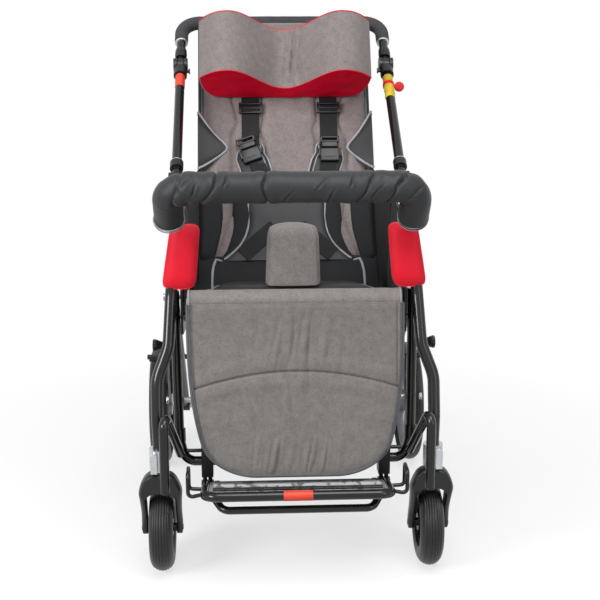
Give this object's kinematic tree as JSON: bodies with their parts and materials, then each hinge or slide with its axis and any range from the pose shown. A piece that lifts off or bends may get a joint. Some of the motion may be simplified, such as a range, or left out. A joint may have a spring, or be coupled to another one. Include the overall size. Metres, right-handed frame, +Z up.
{
  "type": "special needs stroller",
  "caption": "Folding tilt-handle stroller with reclining padded back, winged headrest, harness, pommel, padded bumper, foot plate, swivelling front casters and large rear wheels.",
  "frame": {"origin": "centre of the overall bounding box in plan, on the floor under the tyres", "axes": "+X to the right as seen from the front of the stroller, -Y to the front (foot plate), +Z up"},
  "size_m": [0.6906, 0.9219, 1.1258],
  "materials": {
    "frame_black": "gloss black powder coat",
    "bracket_black": "satin black powder coat",
    "silver_metal": "satin",
    "tyre_grey": "fine tread, mould seam",
    "rim_black": "moulded",
    "rim_grey": "satin grey paint",
    "lock_grey": "moulded",
    "joint_plastic": "moulded",
    "foam_black": "fine cellular foam",
    "suede_grey": "mottled suede-like upholstery with piped edges",
    "nylon_charcoal": "woven nylon with stitched seams",
    "red_fabric": "woven",
    "trim_colour": "red band, yellow sleeve with red tie and tag"
  },
  "bodies": {
    "chassis": {"side_tube_left": "frame_black", "side_tube_right": "frame_black", "inner_tubes": "frame_black", "lower_cross_tube": "frame_black", "caster_sockets": "silver_metal", "guard_loops": "frame_black", "side_plates": "bracket_black", "seat_rails": "frame_black", "seat_cross_tubes": "frame_black", "seat_pan": "bracket_black", "recline_brackets": "bracket_black", "armrest_tubes": "frame_black", "armrest_struts": "frame_black", "armrest_pads": "foam_black", "side_pads": "red_fabric", "side_panels": "nylon_charcoal", "seat_cushion": "nylon_charcoal", "seat_roll": "suede_grey", "calf_panel": "suede_grey", "pommel_socket": "bracket_black", "footrest_clamps": "bracket_black", "frame_bolts": "silver_metal"},
    "swivel_lock_left": {"swivel_lock_left": "lock_grey"},
    "swivel_lock_right": {"swivel_lock_right": "lock_grey"},
    "caster_left": {"caster_fork_left": "bracket_black"},
    "caster_right": {"caster_fork_right": "bracket_black"},
    "front_wheel_left": {"front_tyre_left": "tyre_grey", "front_rim_left": "rim_black"},
    "front_wheel_right": {"front_tyre_right": "tyre_grey", "front_rim_right": "rim_black"},
    "rear_legs": {"rear_leg_left": "frame_black", "rear_leg_right": "frame_black", "rear_axle": "silver_metal"},
    "rear_wheel_left": {"rear_tyre_left": "tyre_grey", "rear_rim_left": "rim_grey"},
    "rear_wheel_right": {"rear_tyre_right": "tyre_grey", "rear_rim_right": "rim_grey"},
    "brake": {"brake_bar": "bracket_black"},
    "knob_left": {"clamp_knob_left": "joint_plastic"},
    "knob_right": {"clamp_knob_right": "joint_plastic"},
    "handle_frame": {"handle_tubes": "frame_black", "tilt_housings": "joint_plastic", "handle_trim": "trim_colour"},
    "fold_collars": {"lock_collars": "joint_plastic"},
    "handle_bar": {"grip_bar": "frame_black", "grip_foam": "foam_black"},
    "button_left": {"tilt_button_left": "joint_plastic"},
    "button_right": {"tilt_button_right": "joint_plastic"},
    "backrest": {"back_frame": "frame_black", "back_cushion": "suede_grey", "harness": "nylon_charcoal"},
    "headrest": {"headrest": "suede_grey"},
    "pommel": {"pommel_post": "silver_metal", "pommel_pad": "suede_grey"},
    "bumper": {"bumper_tube": "frame_black", "bumper_cover": "nylon_charcoal"},
    "footrest": {"foot_hangers": "frame_black"},
    "foot_platform": {"foot_frame": "frame_black", "foot_plate": "bracket_black", "foot_guards": "frame_black"}
  },
  "joints": [
    {"name": "swivel_lock_lift_left", "type": "slide", "parent": "chassis", "child": "swivel_lock_left", "axis": [0, 0, 1], "range_m": [0, 0.008]},
    {"name": "caster_swivel_left", "type": "hinge", "parent": "chassis", "child": "caster_left", "pos_m": [-0.279, -0.36098, 0.233], "axis": [0, 0, 1], "continuous": true},
    {"name": "front_wheel_spin_left", "type": "hinge", "parent": "caster_left", "child": "front_wheel_left", "pos_m": [-0.279, -0.32298, 0.09], "axis": [1, 0, 0], "continuous": true},
    {"name": "rear_wheel_spin_left", "type": "hinge", "parent": "rear_legs", "child": "rear_wheel_left", "pos_m": [-0.314, 0.26702, 0.15], "axis": [1, 0, 0], "continuous": true},
    {"name": "knob_turn_left", "type": "hinge", "parent": "chassis", "child": "knob_left", "pos_m": [-0.28, -0.26598, 0.47], "axis": [1, 0, 0], "range_deg": [-180, 180]},
    {"name": "tilt_button_press_left", "type": "slide", "parent": "handle_frame", "child": "button_left", "axis": [-1, 0, 0], "range_m": [0, 0.004], "stiffness_N_per_m": 400, "springref_m": -0.001},
    {"name": "swivel_lock_lift_right", "type": "slide", "parent": "chassis", "child": "swivel_lock_right", "axis": [0, 0, 1], "range_m": [0, 0.008]},
    {"name": "caster_swivel_right", "type": "hinge", "parent": "chassis", "child": "caster_right", "pos_m": [0.279, -0.36098, 0.233], "axis": [0, 0, 1], "continuous": true},
    {"name": "front_wheel_spin_right", "type": "hinge", "parent": "caster_right", "child": "front_wheel_right", "pos_m": [0.279, -0.32298, 0.09], "axis": [1, 0, 0], "continuous": true},
    {"name": "rear_wheel_spin_right", "type": "hinge", "parent": "rear_legs", "child": "rear_wheel_right", "pos_m": [0.314, 0.26702, 0.15], "axis": [1, 0, 0], "continuous": true},
    {"name": "knob_turn_right", "type": "hinge", "parent": "chassis", "child": "knob_right", "pos_m": [0.28, -0.26598, 0.47], "axis": [1, 0, 0], "range_deg": [-180, 180]},
    {"name": "tilt_button_press_right", "type": "slide", "parent": "handle_frame", "child": "button_right", "axis": [1, 0, 0], "range_m": [0, 0.004], "stiffness_N_per_m": 400, "springref_m": -0.001},
    {"name": "leg_fold", "type": "hinge", "parent": "chassis", "child": "rear_legs", "pos_m": [0, -0.12298, 0.535], "axis": [-1, 0, 0], "range_deg": [0, 34]},
    {"name": "brake_press", "type": "hinge", "parent": "rear_legs", "child": "brake", "pos_m": [0, 0.12902, 0.32], "axis": [-1, 0, 0], "range_deg": [0, 20]},
    {"name": "handle_fold", "type": "hinge", "parent": "chassis", "child": "handle_frame", "pos_m": [0, -0.02298, 0.777], "axis": [1, 0, 0], "range_deg": [0, 100]},
    {"name": "fold_collar_lift", "type": "slide", "parent": "handle_frame", "child": "fold_collars", "axis": [0, 0.8406, 0.5417], "range_m": [0, 0.012]},
    {"name": "handle_tilt", "type": "hinge", "parent": "handle_frame", "child": "handle_bar", "pos_m": [0, 0.31661, 0.99585], "axis": [1, 0, 0], "range_deg": [-75, 0]},
    {"name": "back_recline", "type": "hinge", "parent": "chassis", "child": "backrest", "pos_m": [0, 0.08202, 0.51], "axis": [1, 0, 0], "range_deg": [0, 20]},
    {"name": "headrest_lift", "type": "slide", "parent": "backrest", "child": "headrest", "axis": [0, 0.5, 0.866], "range_m": [0, 0.05]},
    {"name": "pommel_lift", "type": "slide", "parent": "chassis", "child": "pommel", "axis": [0, 0, 1], "range_m": [0, 0.045]},
    {"name": "bumper_pull", "type": "slide", "parent": "chassis", "child": "bumper", "axis": [0, -1, 0], "range_m": [0, 0.045]},
    {"name": "footrest_drop", "type": "slide", "parent": "chassis", "child": "footrest", "axis": [0, 0, -1], "range_m": [0, 0.03]},
    {"name": "foot_platform_tilt", "type": "hinge", "parent": "footrest", "child": "foot_platform", "pos_m": [0, -0.32898, 0.18625], "axis": [1, 0, 0], "range_deg": [-10, 8]}
  ]
}
